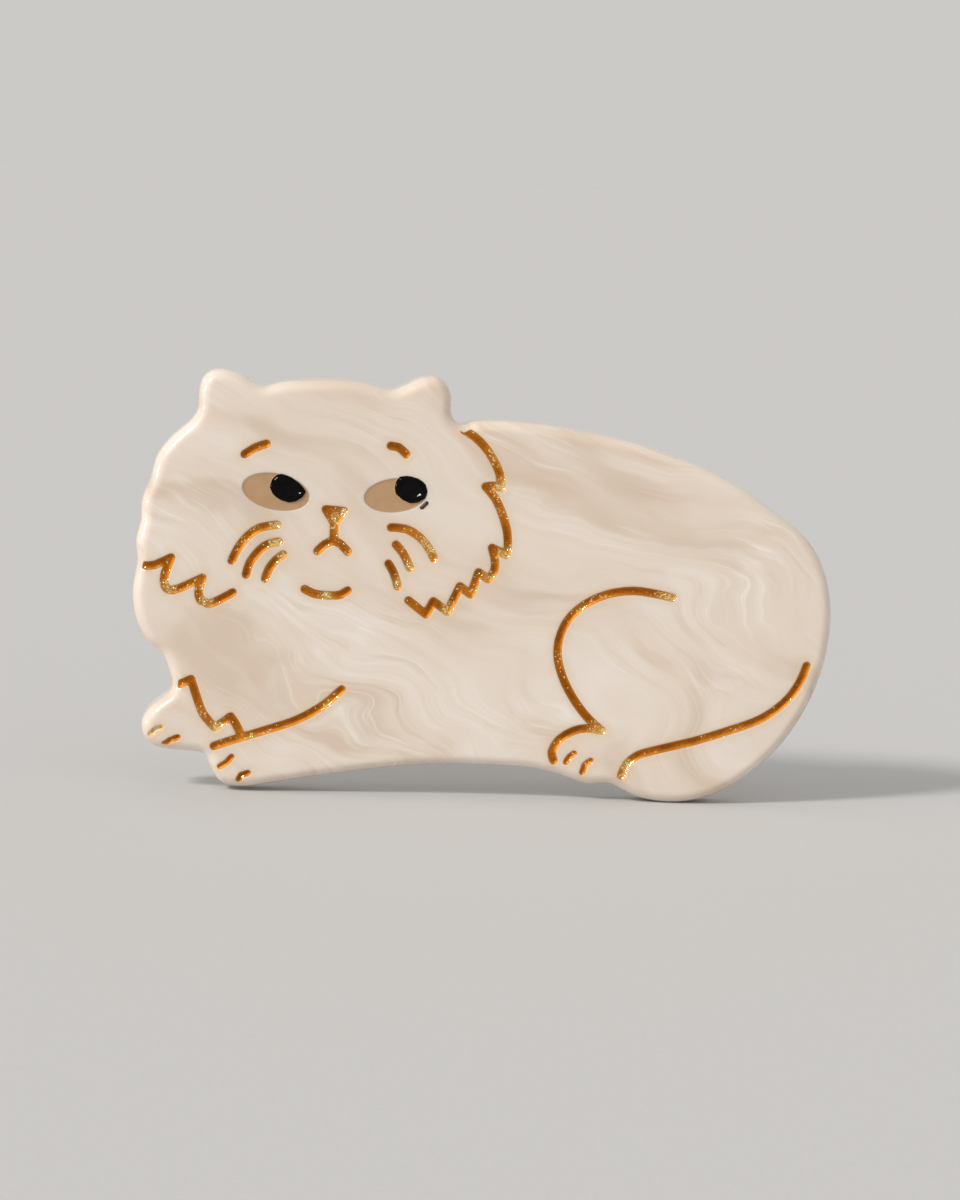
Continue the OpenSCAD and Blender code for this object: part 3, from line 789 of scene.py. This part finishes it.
def build_eyes(outline, eyes, enamel, black, lash):
    """Flat taupe ovals and domed black pupils."""
    for node in EYE_NODES:
        for index, loop in enumerate(eyes[node]):
            points, faces = filled(loop, EYE_RINGS, EYE_PITCH, EYE_CLEAR)
            dip = EYE_DIP * smoothstep(-signed_distance(points, [loop]) / EYE_DIP_REACH)
            top = FRONT + face_drop(points, outline) + EYE_RIM_DROP + dip
            piece = inlay(f"paint_{node}_{index}", points, faces, top, EYE_FLOOR, [enamel])
            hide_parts(node)
    pupils = []
    for node in PUPIL_NODES:
        for index, loop in enumerate(sorted(eyes[node], key=signed_area, reverse=True)):
            big = signed_area(loop) > SMALLEST_PUPIL
            foot = offset_loop(loop, PUPIL_LAP)
            points, faces = filled(foot, PUPIL_RINGS, PUPIL_PITCH, PUPIL_CLEAR, loop)
            s = signed_distance(points, [foot])
            t = np.clip(s / s.min(), 0, 1)
            rise = (FRONT - PUPIL_TOP) * PUPIL_RISE if big else LASH_RISE
            x, z = points[:, 0], points[:, 1]
            wobble = PUPIL_WOBBLE * np.sin(3.1 * x + 1.1) * np.sin(2.7 * z + 0.4) if big else 0
            dome = np.sqrt(np.maximum(1 - (1 - t) ** 2, 0)) ** PUPIL_FLATNESS
            foot_drop = face_drop(points, outline) + PUPIL_SINK
            top = FRONT + foot_drop - (rise + PUPIL_SINK) * dome - wobble * t
            top = np.maximum(top, PUPIL_TOP + CROWN_GAP)
            coat = [black if big else lash]
            piece = inlay(f"dome_{node}_{index}", points, faces, top, EYE_FLOOR, coat)
            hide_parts(node)
            if big:
                pupils.append(piece)
    return pupils


# ---- the fittings on the back ----

def machined(node, name, body, material, bevel):
    """A fitting with its edges broken: the CAD node's mesh, welded, cleaned and bevelled."""
    work = bmesh.new()
    work.from_mesh(nodes[node].data)
    bmesh.ops.remove_doubles(work, verts=work.verts, dist=2e-6)
    bmesh.ops.dissolve_limit(
        work, angle_limit=math.radians(1.0), verts=work.verts, edges=work.edges
    )
    sharp = [
        e for e in work.edges
        if len(e.link_faces) == 2 and e.calc_face_angle(0) > math.radians(32)
    ]
    bmesh.ops.bevel(
        work, geom=sharp, offset=bevel * MM, segments=BEVEL_SEGMENTS, profile=0.5,
        affect="EDGES", clamp_overlap=True,
    )
    bmesh.ops.dissolve_degenerate(work, dist=5e-7, edges=work.edges)
    bmesh.ops.triangulate(work, faces=[f for f in work.faces if len(f.verts) > 4])
    # Sorted, because the bevel leaves them in an order that differs between runs
    corners = sorted(work.verts, key=lambda v: tuple(v.co))
    number = {v: i for i, v in enumerate(corners)}
    verts = [np.array(v.co) / MM for v in corners]
    faces = sorted([number[v] for v in f.verts] for f in work.faces)
    work.free()
    piece = make_object(name, verts, faces, [material], body, smooth_angle=36)
    flats = piece.modifiers.new("flats", "WEIGHTED_NORMAL")  # shades faces flat to their bevels
    flats.keep_sharp = True
    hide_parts(node)


# ---- the studio ----

FRAME_SIZE = (960, 1200)
LENS = 120
SENSOR = 36
SPAN_SHARE = 0.721  # how much of the frame's width the object takes
CAMERA_TURN = -5  # degrees round from the face, towards the object's left
CAMERA_RISE = 6
CAMERA_ROLL = 2.4
AIM_OFFSET = (-0.15, -1.45)  # the aim from the object's centre, right and up, in millimetres
BACKDROP = (0.60, 0.585, 0.565)
FLOOR_SHADES = ((0.583, 0.583, 0.583), (0.607, 0.607, 0.607))
FLOOR_HALF = 40.0  # metres, so wide that its far edge lies almost on the horizon
# Towards each sun, its strength, its spread in degrees and its colour
KEY_SUN = ((-0.62, -0.50, 0.60), 1.95, 12, (1.0, 0.965, 0.92))
EDGE_SUN = ((-0.95, -0.22, 0.12), 0.55, 5, (1.0, 1.0, 1.0))
# The light that makes the pupils' glints: where it is, in metres, its side and its power
GLINT_X, GLINT_Y, GLINT_HEIGHT = 0.015, -0.052, 0.0076
GLINT_SIZE = 0.010
GLINT_POWER = 0.055


def sun(name, towards, strength, spread, colour):
    """A distant light, seen from the object in the direction given."""
    data = bpy.data.lights.new(name, "SUN")
    data.energy = strength
    data.angle = math.radians(spread)
    data.color = colour
    lamp = bpy.data.objects.new(name, data)
    lamp.rotation_euler = Vector(towards).to_track_quat("Z", "Y").to_euler()
    bpy.context.scene.collection.objects.link(lamp)


def softbox(name, pieces, where, look_at, size, power):
    """A small square light that falls on some pieces only, for the glints in the pupils."""
    data = bpy.data.lights.new(name, "AREA")
    data.size = size
    data.energy = power
    lamp = bpy.data.objects.new(name, data)
    lamp.location = where
    lamp.visible_camera = False
    lit = bpy.data.collections.new(name)
    for piece in pieces:
        lit.objects.link(piece)
    lamp.light_linking.receiver_collection = lit
    lamp.rotation_euler = (Vector(where) - Vector(look_at)).to_track_quat("Z", "Y").to_euler()
    bpy.context.scene.collection.objects.link(lamp)


def build_camera(low, high):
    """The camera at the photograph's viewing angle: nearly square to the face, a little from
    the left and above, and rolled so that the feet run slightly downhill to the right."""
    turn, rise = math.radians(CAMERA_TURN), math.radians(CAMERA_RISE)
    away = Vector((
        math.sin(turn) * math.cos(rise), -math.cos(turn) * math.cos(rise), math.sin(rise)
    ))
    sensor_width = SENSOR * FRAME_SIZE[0] / FRAME_SIZE[1]
    span = (high.x - low.x) * math.cos(turn)
    distance = LENS * span / SPAN_SHARE / sensor_width
    data = bpy.data.cameras.new("camera")
    data.sensor_width = SENSOR
    data.lens = LENS
    data.clip_start = 0.01
    camera = bpy.data.objects.new("camera", data)
    looking = away.to_track_quat("Z", "Y").to_matrix()
    rolled = looking @ Matrix.Rotation(math.radians(CAMERA_ROLL), 3, "Z")
    right, up = rolled.col[0], rolled.col[1]
    aim = (low + high) / 2 + (right * AIM_OFFSET[0] + up * AIM_OFFSET[1]) * MM
    camera.location = aim + away * distance
    camera.rotation_euler = rolled.to_euler()
    bpy.context.scene.collection.objects.link(camera)
    bpy.context.scene.camera = camera


def build_studio(low, high, pupils):
    """A wide pale floor under the plate, two suns, the pupils' glint and a pale world."""
    half = FLOOR_HALF
    corners = [(-half, -half), (half, -half), (half, half), (-half, half)]
    mesh = bpy.data.meshes.new("floor")
    mesh.from_pydata([(x, y, low.z) for x, y in corners], [], [(0, 1, 2, 3)])
    mesh.materials.append(floor_material())
    floor = bpy.data.objects.new("floor", mesh)
    bpy.context.scene.collection.objects.link(floor)
    sun("key", *KEY_SUN)
    sun("edge", *EDGE_SUN)
    glint_place = (GLINT_X, GLINT_Y, low.z + GLINT_HEIGHT)
    softbox("glint", pupils, glint_place, (low + high) / 2, GLINT_SIZE, GLINT_POWER)
    world = bpy.data.worlds.new("studio")
    world.use_nodes = True
    background = world.node_tree.nodes["Background"]
    background.inputs[0].default_value = (*BACKDROP, 1)
    background.inputs[1].default_value = 1.0
    bpy.context.scene.world = world
    bpy.context.scene.view_settings.view_transform = "Standard"


acetate = acetate_material()
gold = gold_material()
wiped = wiped_gold_material()
strip_steel = metal_material("plated_strip", (0.55, 0.53, 0.50), 0.24, 0)
rivet_steel = metal_material("rivet_steel", (0.62, 0.60, 0.58), 0.2, 1, 0.3)
wire_steel = metal_material("spring_wire", (0.60, 0.60, 0.61), 0.16, 0, 0.8)
catch_steel = metal_material("catch_plating", (0.70, 0.69, 0.66), 0.14, 0, 0.3)

outline = plate_outline()
lines, eyes = plate_lines()
build_plate(outline, lines, eyes, acetate)
build_gold(outline, lines, gold, wiped)
pupils = build_eyes(outline, eyes, eye_material(), pupil_material(), lash_material())
machined("back_bar", "bar_strip", "brooch", strip_steel, 0.12)
machined("bar_rivets", "fixing_rivets", "brooch", rivet_steel, 0.12)
machined("hinge_rivet", "hinge_wire", "brooch", rivet_steel, 0.1)
machined("pin_stem", "stem_wire", "stem", wire_steel, 0.05)
machined("catch_body", "catch_sleeve", "brooch", strip_steel, 0.08)
machined("catch_barrel", "catch_turner", "catch", catch_steel, 0.08)

low, high = (Vector(c) for c in cad_bounds)
build_camera(low, high)
build_studio(low, high, pupils)
